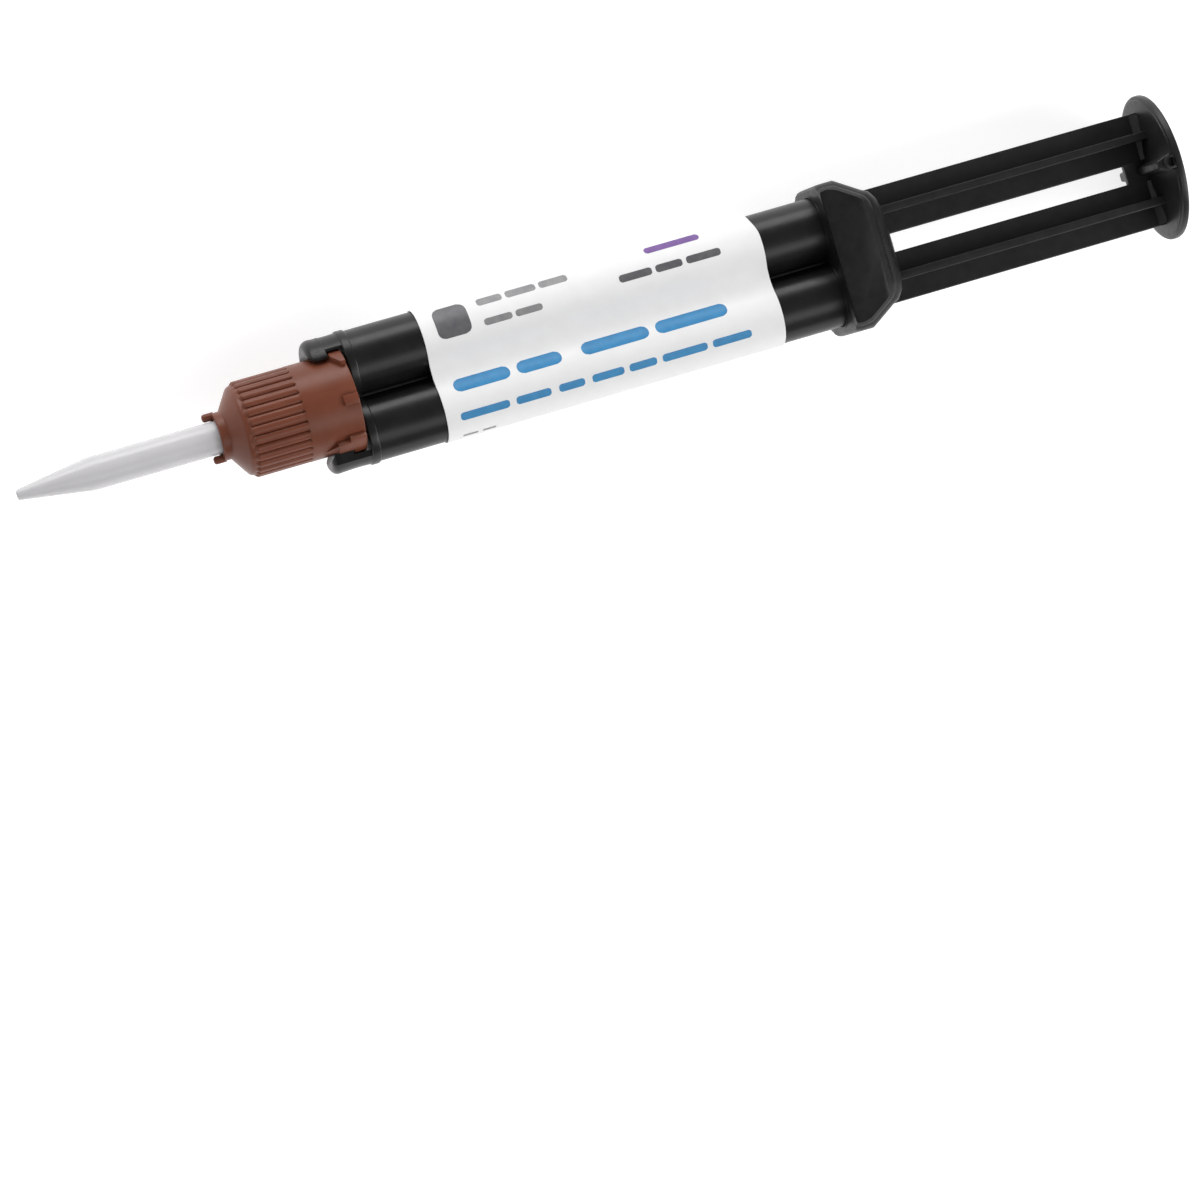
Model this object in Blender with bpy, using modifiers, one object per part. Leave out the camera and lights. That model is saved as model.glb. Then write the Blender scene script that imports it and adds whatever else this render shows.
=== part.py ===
"""Double-barrel automix syringe with a static mixing tip, lying along X.

The tip outlet is at -X and the thumb plate at +X. Every piece is drawn in the syringe frame:
x runs from the outlet along the axis, y goes through both barrels, z is normal to their plane.
Three empties carry that frame into the world, one for each rigid body.
"""

import math

import bmesh
import bpy
from mathutils import Matrix, Vector

MM = 0.001

# Driving dimensions, millimetres. An x value is measured from the outlet of the mixing tip.
LENGTH = 150.0
STROKE = 34.0

# Mixing tip
OUTLET_R = 0.68
OUTLET_BORE_R = 0.35
OUTLET_ROUND_R = 0.12
OUTLET_ROUND_END = 0.25
CONE_END = 8.8
CONE_END_R = 2.0
TUBE_R = 2.06
TUBE_BORE_R = 1.25
HOUSING_NECK = 26.9
HOUSING_SHOULDER = 29.0
HOUSING_R = 4.6
HOUSING_BORE_R = 4.0
HOUSING_REAR = 42.1
ELEMENT_COUNT = 10
ELEMENT_START = 9.6
ELEMENT_PITCH = 2.55
ELEMENT_WIDTH = 2.3
ELEMENT_THICK = 0.5
ELEMENT_OVERLAP = 0.05
ELEMENT_CUTS = 8
INLET_FRONT = 29.9
INLET_R = 3.9
INLET_BORE_R = 1.3
INLET_GAP = 0.15
PREMIX_FRONT = 36.0
PREMIX_REAR = 37.4
PREMIX_R = 2.65
SOCKET_FRONT = 38.6
FEED_FRONT = 37.0

# Bayonet collar
COLLAR_FRONT = 25.2
COLLAR_NECK_R = 3.05
COLLAR_NECK_BORE_R = 2.4
COLLAR_CONE_FRONT = 26.25
COLLAR_CONE_REAR = 27.85
COLLAR_CONE_R = 5.4
RIB_FRONT = 28.4
RIB_REAR = 35.5
RIB_COUNT = 30
RIB_ROOT_R = 5.6
RIB_R = 6.02
RIB_POINTS = 4
# The band of ribs as (x, share of the full radius): its ends are drawn in a little.
RIB_RINGS = ((RIB_FRONT + 0.02, 0.952), (RIB_FRONT + 0.5, 1.0), (RIB_REAR - 0.3, 1.0), (RIB_REAR, 0.985))
SKIRT_R = 5.97
COLLAR_REAR = 42.2
COLLAR_BORE_R = 4.85
COLLAR_BORE_FRONT = 29.1
COLLAR_BORE_NECK = 26.8
COLLAR_EDGE = 0.15
PRONG_FRONT = 24.0
PRONG_R = 0.5
PRONG_Y = 2.63
LUG_FRONT = 40.5
LUG_REAR = 42.1
LUG_R = 6.75
LUG_HALF_ANGLE = math.radians(46.5)
STOP_HALF_ANGLE = math.radians(41)
STOP_FRONT = 38.5
STOP_MIDDLE = 40.0
STOP_NOSE = 36.7
STOP_NOSE_Z = 2.2
STOP_GAP = 0.25
STOP_NOSE_SPREAD = math.radians(2)
KEY_FRONT = 40.25
KEY_REAR = 42.15
KEY_Y = -0.08
KEY_WIDTH = 1.26
KEY_R = 6.35

# Barrels
BARREL_Y = 4.23
BARREL_R = 4.0
BORE_R = 3.15
PLATE_FRONT = 42.45
PLATE_REAR = 43.6
PLATE_R = 4.2
PLATE_NOTCH_Z = 1.0
BORE_FRONT = 45.4
BARREL_REAR = 108.6
WEB_HALF_Y = 1.6
WEB_HALF_Z = 0.75
HOOK_R = 4.1
HOOK_ROUND = 0.9
HOOK_INSIDE_Y = 4.53
HOOKS = {1: (38.0, 3.4), -1: (37.5, 2.7)}  # by side: front end, half width along z
CLAW_REAR = 40.35
CLAW_HALF_ANGLE = math.radians(72)
CLAW_BORE_R = 6.4
CLAW_BORE_FLARE = 1.2
CLAW_ROUND = 0.45
CLAW_SETBACK = 0.35
SLOT_BORE_R = 7.05
NOZZLE_FRONT = 39.2
NOZZLE_Y = 1.9
NOZZLE_R = 1.3
NOZZLE_BORE_R = 0.65
NOZZLE_SPACE_R = 3.3
SOCKET_R = 1.4

# Label
LABEL_FRONT = 52.2
LABEL_REAR = 96.4
LABEL_GAP = 0.06
LABEL_THICK = 0.14
LABEL_VALLEY_Y = 2.0

# Finger flange
FLANGE_FRONT = 104.65
FLANGE_LENGTH = 7.85
FLANGE_FULL_Z = 3.6
FLANGE_HALF_Z = 6.2
# Its outline from the front face rearwards, as (x, half width): full in the middle, smaller on both flat sides.
FLANGE_FULL = ((0, 9.1), (0.5, 9.4), (2.5, 9.45), (3.3, 8.95), (5.7, 7.4), (6.6, 6.95))
FLANGE_FULL += ((7.35, 5.9), (7.8, 4.5), (FLANGE_LENGTH, 0))
FLANGE_FLAT = ((0, 8.3), (1.0, 8.45), (1.9, 8.2), (2.5, 7.85), (4.4, 6.6), (4.85, 6.2))
FLANGE_FLAT += ((5.05, 5.7), (5.15, 4.5), (5.2, 0))
# How far the outline has been drawn in at each height z.
FLANGE_LEVELS = ((FLANGE_FULL_Z, 0), (4.2, 0.03), (4.9, 0.25), (5.5, 0.59), (5.62, 0.62), (FLANGE_HALF_Z, 1))
FLANGE_POCKET_R = 4.12
FLANGE_POCKET_REAR = 108.9
ROD_HOLE_R = 3.3
WEB_CLEARANCE = 0.12
ROD_WEB_CLEARANCE = 0.2

# Plunger
ROD_HALF = 3.06
FIN_THICK = 1.05
ROD_FRONT = 86.4
ROD_DISC_REAR = 87.4
STEM_FRONT = 83.0
STEM_R = 1.0
ROD_WEB_FRONT = 145.4
ROD_WEB_SLOT_FRONT = 109.9
THUMB_R = 9.33
THUMB_INNER = 148.2
THUMB_RIM_FRONT = 149.1
THUMB_EDGE = 0.35
THUMB_FLAT_R = 2.33
THUMB_SLOPE_R = 5.6
THUMB_SLOPE = 0.45
RIB_TOP = 147.0
RIB_TOP_WIDTH = 1.0
RIB_BASE_WIDTH = 2.5
RIB_FAR_REACH = 6.5
RIB_NEAR_REACH = 8.43
BOSS_X = 148.6
BOSS_R = 0.9
BOSS_REACH = 9.0
BOSS_DEPTH = 1.6
BOSS_DIMPLE_R = 0.5
BOSS_DIMPLE_DEPTH = 0.7

# Pistons, seals and pastes
PISTON_END_GAP = 0.8
PISTON_FRONT = BORE_FRONT + PISTON_END_GAP + STROKE
PISTON_REAR = 86.1
PISTON_R = 3.06
PISTON_CHAMFER = 0.3
GROOVE_FRONT = 82.1
GROOVE_REAR = 83.1
GROOVE_R = 2.25
SEAL_R = 2.73
SEAL_WIRE_R = 0.36
STEM_SOCKET_R = 1.1
STEM_SOCKET_GAP = 0.2
PASTE_FRONT = 45.55
PASTE_R = 3.05
PASTE_GAP = 0.15

ROUND_STEPS = 40
SMALL_STEPS = 24
TINY_STEPS = 16
FINE = 0.00001  # merge distance, metres
SINK = 0.3  # how deep a joined piece reaches in; a little more or less where two ends would share a plane
PAST = 1.0  # how far a cutter stands clear of what it cuts

SYRINGE_PLACE = Vector((-LENGTH / 2, 0, THUMB_R)) * MM


def clear_scene():
    for obj in list(bpy.data.objects):
        bpy.data.objects.remove(obj, do_unlink=True)


def new_collection(name, hidden):
    made = bpy.data.collections.new(name)
    bpy.context.scene.collection.children.link(made)
    made.hide_render = hidden
    return made


def material(name, colour, roughness, alpha=1.0):
    made = bpy.data.materials.new(name)
    made.use_nodes = True
    shader = made.node_tree.nodes["Principled BSDF"]
    shader.inputs["Base Color"].default_value = (*colour, 1.0)
    shader.inputs["Roughness"].default_value = roughness
    shader.inputs["Metallic"].default_value = 0.0
    shader.inputs["Alpha"].default_value = alpha
    return made


clear_scene()
PARTS = new_collection("automix_syringe", hidden=False)
CUTTERS = new_collection("cutters", hidden=True)

BLACK = material("black_plastic", (0.016, 0.016, 0.017), 0.32)
BLACK_SATIN = material("satin_black_plastic", (0.02, 0.02, 0.021), 0.45)
BROWN = material("brown_plastic", (0.19, 0.045, 0.022), 0.42)
CLEAR = material("translucent_plastic", (0.82, 0.84, 0.84), 0.2, alpha=0.45)
WHITE = material("white_plastic", (0.8, 0.8, 0.78), 0.35)
PAPER = material("label_paper", (0.84, 0.84, 0.83), 0.5)
RUBBER = material("seal_rubber", (0.03, 0.03, 0.03), 0.7)
BASE_PASTE = material("base_paste", (0.78, 0.72, 0.58), 0.4)
CATALYST_PASTE = material("catalyst_paste", (0.82, 0.81, 0.77), 0.4)


def body_frame(name):
    """An empty on the syringe's axis, the parent of one rigid body's pieces."""
    empty = bpy.data.objects.new(name, None)
    empty.location = SYRINGE_PLACE
    PARTS.objects.link(empty)
    return empty


BARREL_FRAME = body_frame("barrel_frame")
PLUNGER_FRAME = body_frame("plunger_frame")
COLLAR_FRAME = body_frame("collar_frame")


def place(name, mesh, parent):
    """The object of a mesh drawn in metres in the syringe frame. No parent makes it a helper."""
    obj = bpy.data.objects.new(name, mesh)
    if parent:
        PARTS.objects.link(obj)
        obj.parent = parent
    else:
        CUTTERS.objects.link(obj)
        obj.hide_render = True
        obj.display_type = "WIRE"
        obj.location = SYRINGE_PLACE
    return obj


def mesh_of(bm, name):
    bmesh.ops.recalc_face_normals(bm, faces=bm.faces)
    mesh = bpy.data.meshes.new(name)
    bm.to_mesh(mesh)
    bm.free()
    return mesh


def finish(obj, finish_material, sharp_degrees=35):
    obj.data.materials.append(finish_material)
    obj.data.shade_smooth()
    obj.data.set_sharp_from_angle(angle=math.radians(sharp_degrees))
    return obj


def turned(name, profile, parent=None, centre_y=0.0, steps=ROUND_STEPS):
    """A profile of (x, r) points, rear to front on its outer side, turned about the line y = centre_y."""
    bm = bmesh.new()
    verts = [bm.verts.new((x * MM, 0, r * MM)) for x, r in profile]
    for first, second in zip(verts, verts[1:]):
        bm.edges.new((first, second))
    if profile[0][1] > 0:
        bm.edges.new((verts[-1], verts[0]))
    mesh = bpy.data.meshes.new(name)
    bm.to_mesh(mesh)
    bm.free()
    obj = place(name, mesh, parent)
    obj.location.y += centre_y * MM
    screw = obj.modifiers.new("turn", "SCREW")
    screw.axis = "X"
    screw.steps = steps
    screw.render_steps = steps
    screw.use_merge_vertices = True
    screw.merge_threshold = FINE
    screw.use_smooth_shade = True
    return obj


def rod(name, front, rear, radius, parent=None, centre_y=0.0, steps=ROUND_STEPS):
    profile = [(rear, 0), (rear, radius), (front, radius), (front, 0)]
    return turned(name, profile, parent, centre_y, steps)


def outline_mesh(name, outlines, low, high, along):
    """Flat outlines, the first one outer and the rest holes, extruded from low to high along an axis.

    Along "X" the points are (y, z), along "Z" they are (x, y).
    """
    curve = bpy.data.curves.new(name, "CURVE")
    curve.dimensions = "2D"
    curve.fill_mode = "BOTH"
    curve.extrude = (high - low) / 2 * MM
    for points in outlines:
        spline = curve.splines.new("POLY")
        spline.points.add(len(points) - 1)
        for slot, (a, b) in zip(spline.points, points):
            slot.co = (a * MM, b * MM, 0, 1)
        spline.use_cyclic_u = True
    drawn = bpy.data.objects.new(name, curve)
    CUTTERS.objects.link(drawn)
    bpy.context.view_layer.update()
    graph = bpy.context.evaluated_depsgraph_get()
    mesh = bpy.data.meshes.new_from_object(drawn.evaluated_get(graph))
    bpy.data.objects.remove(drawn)
    bpy.data.curves.remove(curve)
    bm = bmesh.new()
    bm.from_mesh(mesh)
    bmesh.ops.remove_doubles(bm, verts=bm.verts, dist=FINE / 10)
    middle = (low + high) / 2 * MM
    if along == "X":
        # The outline's first axis becomes y, its second z, and its normal x.
        turn = Matrix(((0, 0, 1, middle), (1, 0, 0, 0), (0, 1, 0, 0), (0, 0, 0, 1)))
    else:
        turn = Matrix.Translation((0, 0, middle))
    bmesh.ops.transform(bm, matrix=turn, verts=bm.verts)
    bpy.data.meshes.remove(mesh)
    return mesh_of(bm, name)


def prism(name, outline, low, high, parent=None, along="X"):
    return place(name, outline_mesh(name, [outline], low, high, along), parent)


def block(name, low, high, parent=None):
    bm = bmesh.new()
    bmesh.ops.create_cube(bm, size=1)
    low = Vector(low) * MM
    high = Vector(high) * MM
    size = Matrix.Diagonal((*(high - low), 1))
    bmesh.ops.transform(bm, matrix=Matrix.Translation((low + high) / 2) @ size, verts=bm.verts)
    return place(name, mesh_of(bm, name), parent)


def boolean(obj, other, operation):
    modifier = obj.modifiers.new(f"{operation.lower()}_{other.name}", "BOOLEAN")
    modifier.operation = operation
    modifier.object = other
    modifier.solver = "EXACT"
    return modifier


def join(obj, *others):
    for other in others:
        boolean(obj, other, "UNION")


def cut(obj, *others):
    for other in others:
        boolean(obj, other, "DIFFERENCE")


def use_manifold_solver(obj):
    """For a piece with long thin faces beside small ones, where the exact solver leaves open edges."""
    for modifier in obj.modifiers:
        if modifier.type == "BOOLEAN":
            modifier.solver = "MANIFOLD"


def bevel(obj, width, segments=2, angle=40):
    modifier = obj.modifiers.new("rounded_edges", "BEVEL")
    modifier.width = width * MM
    modifier.segments = segments
    modifier.limit_method = "ANGLE"
    modifier.angle_limit = math.radians(angle)
    return modifier


def arc(centre_y, radius, start, end, steps):
    """Points (y, z) on a circle about (centre_y, 0), angles measured from +y towards +z."""
    found = []
    for i in range(steps + 1):
        angle = start + (end - start) * i / steps
        found.append((centre_y + radius * math.cos(angle), radius * math.sin(angle)))
    return found


def sector(inner, outer, start, end, steps=8):
    """A ring sector about the syringe's axis, as an outline in y and z."""
    return arc(0, outer, start, end, steps) + arc(0, inner, end, start, steps)


def make_mixer_tube():
    outer = [(HOUSING_REAR, HOUSING_R), (HOUSING_SHOULDER, HOUSING_R), (HOUSING_NECK, TUBE_R)]
    outer += [(CONE_END, CONE_END_R), (OUTLET_ROUND_END, OUTLET_R), (0, OUTLET_R - OUTLET_ROUND_R)]
    step = INLET_FRONT - INLET_GAP
    inner = [(0, OUTLET_BORE_R), (CONE_END, TUBE_BORE_R), (step, TUBE_BORE_R)]
    inner += [(step, HOUSING_BORE_R), (HOUSING_REAR, HOUSING_BORE_R)]
    return finish(turned("mixer_tube", outer + inner, BARREL_FRAME, steps=32), CLEAR)


def mixing_strip(index, name, parent=None):
    """A flat strip twisted by half a turn, to the left or the right in turn, each one square to the last."""
    length = ELEMENT_PITCH + 2 * ELEMENT_OVERLAP
    start = ELEMENT_START + index * ELEMENT_PITCH - ELEMENT_OVERLAP
    bm = bmesh.new()
    bmesh.ops.create_cube(bm, size=1)
    size = Matrix.Diagonal((length * MM, ELEMENT_WIDTH * MM, ELEMENT_THICK * MM, 1))
    middle = Matrix.Translation(((start + length / 2) * MM, 0, 0))
    bmesh.ops.transform(bm, matrix=middle @ size, verts=bm.verts)
    along = [e for e in bm.edges if abs((e.verts[0].co - e.verts[1].co).x) > length / 2 * MM]
    bmesh.ops.subdivide_edges(bm, edges=along, cuts=ELEMENT_CUTS)
    hand = 1 if index % 2 else -1
    for vert in bm.verts:
        share = (vert.co.x / MM - start) / length
        angle = hand * math.pi * (share - 0.5) + index * math.pi / 2
        vert.co = Matrix.Rotation(angle, 4, "X") @ vert.co
    return place(name, mesh_of(bm, name), parent)


def make_mixer_element():
    element = mixing_strip(0, "mixer_element", BARREL_FRAME)
    for index in range(1, ELEMENT_COUNT):
        join(element, mixing_strip(index, f"strip_{index}"))
    return finish(element, WHITE)


def make_mixer_inlet():
    profile = [(HOUSING_REAR, 0), (HOUSING_REAR, INLET_R), (INLET_FRONT, INLET_R)]
    profile += [(INLET_FRONT, INLET_BORE_R), (PREMIX_FRONT, INLET_BORE_R)]
    profile += [(PREMIX_FRONT, PREMIX_R), (PREMIX_REAR, PREMIX_R), (PREMIX_REAR, 0)]
    inlet = turned("mixer_inlet", profile, BARREL_FRAME)
    for side in (-1, 1):
        y = side * NOZZLE_Y
        cut(inlet, rod(f"socket_{side}", SOCKET_FRONT, HOUSING_REAR + PAST, SOCKET_R, None, y, SMALL_STEPS))
        cut(inlet, rod(f"feed_{side}", FEED_FRONT, SOCKET_FRONT + SINK, NOZZLE_BORE_R, None, y, TINY_STEPS))
    return finish(inlet, WHITE)


def ribbed_band():
    """The fluted grip: half-round ribs side by side, their ends drawn in to round the front and rear edges."""
    count = RIB_COUNT * RIB_POINTS
    bm = bmesh.new()
    made = []
    for x, share in RIB_RINGS:
        ring = []
        for i in range(count):
            angle = 2 * math.pi * i / count
            crest = abs(math.cos(math.pi * i / RIB_POINTS))
            radius = (RIB_ROOT_R + (RIB_R - RIB_ROOT_R) * crest) * share
            place_at = (x * MM, radius * math.cos(angle) * MM, radius * math.sin(angle) * MM)
            ring.append(bm.verts.new(place_at))
        made.append(ring)
    for first, second in zip(made, made[1:]):
        for i in range(count):
            after = (i + 1) % count
            bm.faces.new((first[i], first[after], second[after], second[i]))
    bm.faces.new(made[0])
    bm.faces.new(made[-1])
    return place("ribbed_band", mesh_of(bm, "ribbed_band"), None)


def stop_outline(end_angle):
    """The stop beside the hook at -y: a flat side parallel to the hook, and an outer arc up to end_angle."""
    flat_z = HOOKS[-1][1] + STOP_GAP
    inner = SKIRT_R - SINK
    start = math.pi - math.asin(flat_z / LUG_R)
    points = arc(0, LUG_R, start, end_angle, 5)
    points += arc(0, inner, end_angle, math.pi - math.asin(flat_z / inner), 4)
    return points


def stop_nose():
    """The pointed ramp that leads up to the stop."""
    outline = stop_outline(math.pi - STOP_HALF_ANGLE + STOP_NOSE_SPREAD)
    nose = prism("stop_nose", outline, STOP_NOSE, STOP_FRONT + SINK - 0.1)
    tip = SKIRT_R - SINK + 0.1
    apex = Vector((STOP_NOSE, -math.sqrt(tip**2 - STOP_NOSE_Z**2), STOP_NOSE_Z)) * MM
    for vert in nose.data.vertices:
        if vert.co.x < (STOP_NOSE + STOP_FRONT) / 2 * MM:
            vert.co = vert.co.lerp(apex, 0.94)
    return nose


def make_bayonet_collar():
    edge = COLLAR_EDGE
    profile = [(COLLAR_REAR, 0), (COLLAR_REAR, SKIRT_R - edge), (COLLAR_REAR - edge, SKIRT_R)]
    profile += [(RIB_REAR - SINK, SKIRT_R), (RIB_FRONT, RIB_ROOT_R - 0.1)]
    profile += [(COLLAR_CONE_REAR, COLLAR_CONE_R), (COLLAR_CONE_FRONT, COLLAR_NECK_R)]
    profile += [(COLLAR_FRONT + edge, COLLAR_NECK_R), (COLLAR_FRONT, COLLAR_NECK_R - edge), (COLLAR_FRONT, 0)]
    collar = turned("bayonet_collar", profile, COLLAR_FRAME)
    join(collar, ribbed_band())
    for side in (-1, 1):
        y = side * PRONG_Y
        join(collar, rod(f"prong_{side}", PRONG_FRONT, COLLAR_FRONT + SINK, PRONG_R, None, y, TINY_STEPS))
        middle = 0 if side > 0 else math.pi
        lug = sector(SKIRT_R - SINK - 0.1, LUG_R, middle - LUG_HALF_ANGLE, middle + LUG_HALF_ANGLE)
        join(collar, prism(f"lug_{side}", lug, LUG_FRONT, LUG_REAR))
    wide = stop_outline(math.pi - LUG_HALF_ANGLE)
    narrow = stop_outline(math.pi - STOP_HALF_ANGLE)
    join(collar, prism("stop_wide", wide, STOP_MIDDLE, COLLAR_REAR - SINK - 0.1))
    join(collar, prism("stop_narrow", narrow, STOP_FRONT, STOP_MIDDLE + SINK - 0.1))
    join(collar, stop_nose())
    low = (KEY_FRONT, KEY_Y - KEY_WIDTH / 2, SKIRT_R - SINK - 0.2)
    join(collar, block("key", low, (KEY_REAR, KEY_Y + KEY_WIDTH / 2, KEY_R)))
    bore = [(COLLAR_REAR + PAST, 0), (COLLAR_REAR + PAST, COLLAR_BORE_R), (COLLAR_BORE_FRONT, COLLAR_BORE_R)]
    bore += [(COLLAR_BORE_NECK, COLLAR_NECK_BORE_R), (COLLAR_FRONT - PAST, COLLAR_NECK_BORE_R)]
    bore += [(COLLAR_FRONT - PAST, 0)]
    cut(collar, turned("collar_bore", bore))
    use_manifold_solver(collar)
    return finish(collar, BROWN)


def figure_eight(radius, steps=20):
    """Two circles about the barrel centres, joined deep in the valley by a short flat."""
    bridge_y = BARREL_Y - math.sqrt(radius**2 - PLATE_NOTCH_Z**2)
    half = math.pi - math.acos((BARREL_Y - bridge_y) / radius)
    right = arc(BARREL_Y, radius, -half, half, steps)
    left = [(-y, z) for y, z in reversed(right)]
    return right + left


def hook(side):
    """A hook is the front of the barrel's outer wall, with its inner side cut to clear the collar."""
    front, half_z = HOOKS[side]
    half = math.asin(half_z / HOOK_R)
    outer = arc(BARREL_Y, HOOK_R, -half, half, 12)
    inner = [(HOOK_INSIDE_Y, half_z), (HOOK_INSIDE_Y, -half_z)]
    outline = [(side * y, z) for y, z in outer + inner]
    made = prism(f"hook_{side}", outline, front, PLATE_REAR - SINK)
    bevel(made, HOOK_ROUND, segments=3, angle=50)
    return made


def claw_end():
    """The hook at +y wraps further round its barrel in front of the lug's slot."""
    front = HOOKS[1][0]
    outline = arc(BARREL_Y, HOOK_R, -CLAW_HALF_ANGLE, CLAW_HALF_ANGLE, 16)
    made = prism("claw_end", outline, front + CLAW_SETBACK, CLAW_REAR)
    bevel(made, CLAW_ROUND, segments=2, angle=50)
    return made


def make_barrel_body():
    body = prism("barrel_body", figure_eight(PLATE_R), PLATE_FRONT - 0.1, PLATE_REAR, BARREL_FRAME)
    for side in (-1, 1):
        y = side * BARREL_Y
        join(body, rod(f"barrel_{side}", PLATE_REAR - SINK - 0.2, BARREL_REAR, BARREL_R, None, y))
        join(body, hook(side))
        y = side * NOZZLE_Y
        join(body, rod(f"nozzle_{side}", NOZZLE_FRONT, PLATE_FRONT + SINK + 0.2, NOZZLE_R, None, y, SMALL_STEPS))
    join(body, claw_end())
    web_low = (PLATE_REAR - SINK - 0.1, -WEB_HALF_Y, -WEB_HALF_Z)
    web_high = (BARREL_REAR - SINK - 0.2, WEB_HALF_Y, WEB_HALF_Z)
    join(body, block("web", web_low, web_high))
    clearance = [(PLATE_FRONT, NOZZLE_SPACE_R), (PLATE_FRONT, SLOT_BORE_R)]
    clearance += [(CLAW_REAR, SLOT_BORE_R), (CLAW_REAR, CLAW_BORE_R)]
    front = HOOKS[-1][0]
    flare = CLAW_BORE_FLARE
    clearance += [(front + 0.8, CLAW_BORE_R), (front - PAST, CLAW_BORE_R + flare), (front - PAST, NOZZLE_SPACE_R)]
    cut(body, turned("hook_clearance", clearance, steps=72))
    for side in (-1, 1):
        y = side * BARREL_Y
        cut(body, rod(f"bore_{side}", BORE_FRONT, BARREL_REAR + PAST, BORE_R, None, y))
        y = side * NOZZLE_Y
        front, rear = NOZZLE_FRONT - PAST, BORE_FRONT + SINK
        cut(body, rod(f"outlet_{side}", front, rear, NOZZLE_BORE_R, None, y, TINY_STEPS))
    use_manifold_solver(body)
    return finish(body, BLACK)


def flange_blank():
    """The flange's outline along z: full around the middle, drawn in to a smaller one at both flat sides."""
    near = list(FLANGE_LEVELS)
    levels = [(-z, share) for z, share in reversed(near)] + near
    both = list(zip(FLANGE_FULL, FLANGE_FLAT))
    bm = bmesh.new()
    rings = []
    for z, share in levels:
        upper = [(a + (c - a) * share, b + (d - b) * share) for (a, b), (c, d) in both]
        ring = upper + [(x, -y) for x, y in reversed(upper[:-1])]
        rings.append([bm.verts.new(((FLANGE_FRONT + x) * MM, y * MM, z * MM)) for x, y in ring])
    for first, second in zip(rings, rings[1:]):
        for i, corner in enumerate(first):
            before = i - 1
            bm.faces.new((first[before], corner, second[i], second[before]))
    bm.faces.new(rings[0])
    bm.faces.new(rings[-1])
    return place("finger_flange", mesh_of(bm, "finger_flange"), BARREL_FRAME)


def make_finger_flange():
    flange = flange_blank()
    for side in (-1, 1):
        y = side * BARREL_Y
        cut(flange, rod(f"pocket_{side}", FLANGE_FRONT - PAST, FLANGE_POCKET_REAR, FLANGE_POCKET_R, None, y))
        cut(flange, rod(f"rod_hole_{side}", FLANGE_POCKET_REAR - PAST, LENGTH, ROD_HOLE_R, None, y))
    half = WEB_HALF_Z + WEB_CLEARANCE
    low = (FLANGE_FRONT - PAST, -WEB_HALF_Y, -half)
    high = (FLANGE_POCKET_REAR, WEB_HALF_Y, half)
    cut(flange, block("web_pocket", low, high))
    half = FIN_THICK / 2 + ROD_WEB_CLEARANCE
    low = (ROD_WEB_SLOT_FRONT, -WEB_HALF_Y, -half)
    high = (LENGTH, WEB_HALF_Y, half)
    cut(flange, block("rod_web_slot", low, high))
    use_manifold_solver(flange)
    return finish(flange, BLACK_SATIN)


def make_label_wrap():
    def wrap(radius):
        """Both crowns, and a shallow parabola across each valley that meets them at their own slope."""
        run = BARREL_Y - LABEL_VALLEY_Y
        crown = math.sqrt(radius**2 - run**2)
        slope = run / crown
        half = math.pi - math.acos(run / radius)
        right = arc(BARREL_Y, radius, -half, half, 28)
        left = [(-y, z) for y, z in reversed(right)]
        valley = []
        for i in range(1, 6):
            y = LABEL_VALLEY_Y * (1 - i / 3)
            valley.append((y, crown - slope / (2 * LABEL_VALLEY_Y) * (LABEL_VALLEY_Y**2 - y**2)))
        under = [(-y, -z) for y, z in valley]
        return right + valley + left + under

    inner = BARREL_R + LABEL_GAP
    outlines = [wrap(inner + LABEL_THICK), wrap(inner)]
    mesh = outline_mesh("label_wrap", outlines, LABEL_FRONT, LABEL_REAR, "X")
    return finish(place("label_wrap", mesh, BARREL_FRAME), PAPER)


def make_piston(name, side):
    profile = [(PISTON_REAR, 0), (PISTON_REAR, PISTON_R), (GROOVE_REAR, PISTON_R)]
    profile += [(GROOVE_REAR, GROOVE_R), (GROOVE_FRONT, GROOVE_R), (GROOVE_FRONT, PISTON_R)]
    chamfer = PISTON_CHAMFER
    profile += [(PISTON_FRONT + chamfer, PISTON_R), (PISTON_FRONT, PISTON_R - chamfer), (PISTON_FRONT, 0)]
    y = side * BARREL_Y
    piston = turned(name, profile, PLUNGER_FRAME, y, SMALL_STEPS)
    front, rear = STEM_FRONT - STEM_SOCKET_GAP, PISTON_REAR + PAST
    cut(piston, rod(f"{name}_socket", front, rear, STEM_SOCKET_R, None, y, SMALL_STEPS))
    return finish(piston, WHITE)


def make_seal(name, side):
    ring = []
    for i in range(8):
        angle = 2 * math.pi * i / 8
        x = (GROOVE_FRONT + GROOVE_REAR) / 2 + SEAL_WIRE_R * math.cos(angle)
        ring.append((x, SEAL_R + SEAL_WIRE_R * math.sin(angle)))
    return finish(turned(name, ring, PLUNGER_FRAME, side * BARREL_Y, SMALL_STEPS), RUBBER)


def make_paste(name, side, colour):
    rear = PISTON_FRONT - PASTE_GAP
    paste = rod(name, PASTE_FRONT, rear, PASTE_R, BARREL_FRAME, side * BARREL_Y, SMALL_STEPS)
    return finish(paste, colour)


def fins(side):
    """The two crossed fins of one rod. Their ends lie at different depths inside the disc and the plate."""
    y = side * BARREL_Y
    half = FIN_THICK / 2
    front = ROD_DISC_REAR - SINK
    rear = THUMB_INNER + SINK + 0.5
    flat = block(f"flat_fin_{side}", (front, y - ROD_HALF, -half), (rear, y + ROD_HALF, half))
    low = (front + 0.1, y - half, -ROD_HALF)
    return flat, block(f"upright_fin_{side}", low, (rear + 0.1, y + half, ROD_HALF))


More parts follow.
